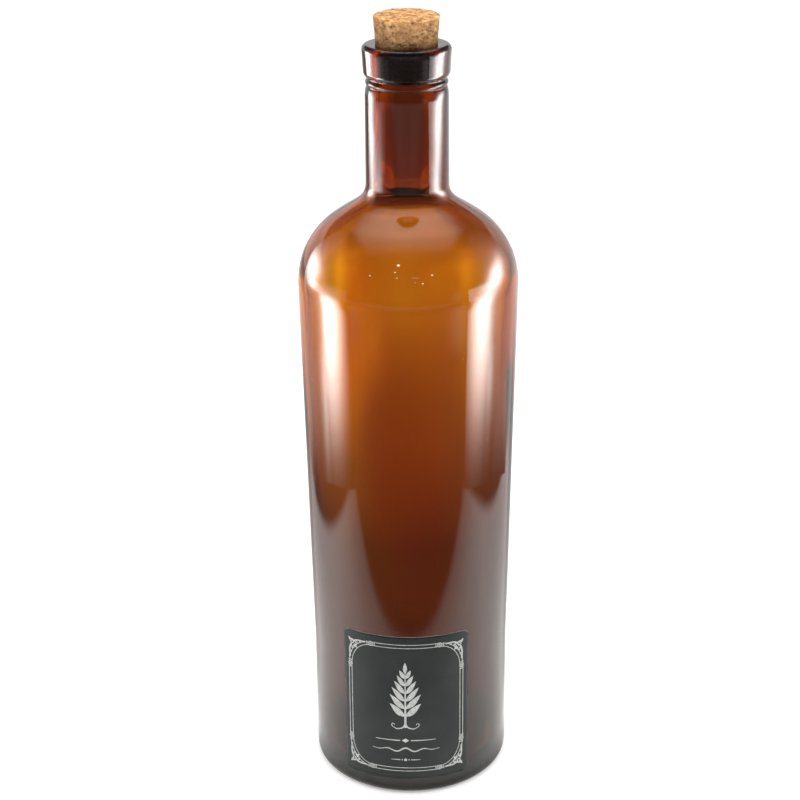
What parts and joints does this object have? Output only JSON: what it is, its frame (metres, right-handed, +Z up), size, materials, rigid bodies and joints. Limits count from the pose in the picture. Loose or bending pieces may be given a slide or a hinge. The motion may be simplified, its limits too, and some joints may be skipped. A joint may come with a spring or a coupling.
{
  "type": "corked glass bottle",
  "caption": "Tall round amber glass bottle with a straight neck, a collared mouth, a short tapered cork and a rectangular front label.",
  "frame": {"origin": "centre of the foot, on the surface the bottle stands on", "axes": "+Z up along the bottle's axis; the label faces -Y"},
  "size_m": [0.078, 0.078, 0.2848],
  "materials": {
    "amber_glass": "smooth blown glass",
    "cork": "cut natural cork with dark pores",
    "label": "matt black paper with silver print"
  },
  "bodies": {
    "bottle": {"glass_bottle": "amber_glass", "front_label": "label"},
    "stopper": {"cork_stopper": "cork"}
  },
  "joints": [
    {"name": "cork_pull", "type": "slide", "parent": "bottle", "child": "stopper", "axis": [0, 0, 1], "range_m": [0, 0.06]}
  ]
}
